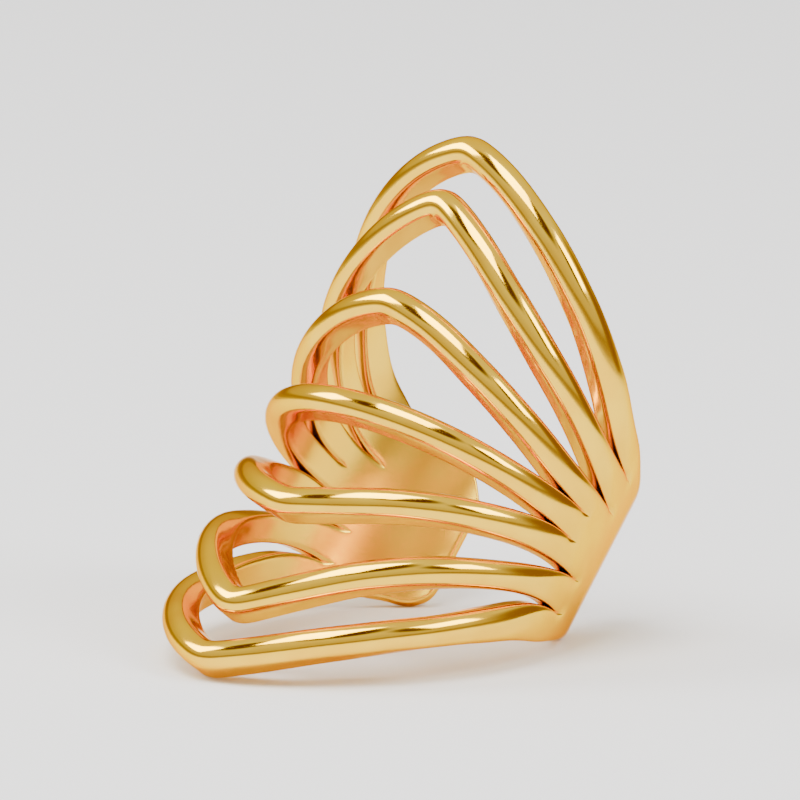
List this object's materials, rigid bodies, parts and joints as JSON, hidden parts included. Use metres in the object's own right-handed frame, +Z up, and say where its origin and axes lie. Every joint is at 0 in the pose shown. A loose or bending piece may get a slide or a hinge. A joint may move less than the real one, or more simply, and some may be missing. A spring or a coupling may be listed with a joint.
{
  "type": "ear cuff",
  "caption": "Open one-piece ear cuff: domed bars fan out across the front, meet in smooth side plates and end in two rounded tabs with a gap between them.",
  "frame": {"origin": "centre of the bounding box at the surface that the cuff lies on", "axes": "+Z up from that surface, +X to the right across the cuff's plane of symmetry, -Y towards the fan of bars, +Y towards the gap between the tabs"},
  "size_m": [0.0138, 0.018, 0.0181],
  "materials": {
    "gold_plated_brass": "polished yellow gold plating over cast brass"
  },
  "bodies": {
    "root": {"cuff": "gold_plated_brass"}
  },
  "joints": []
}
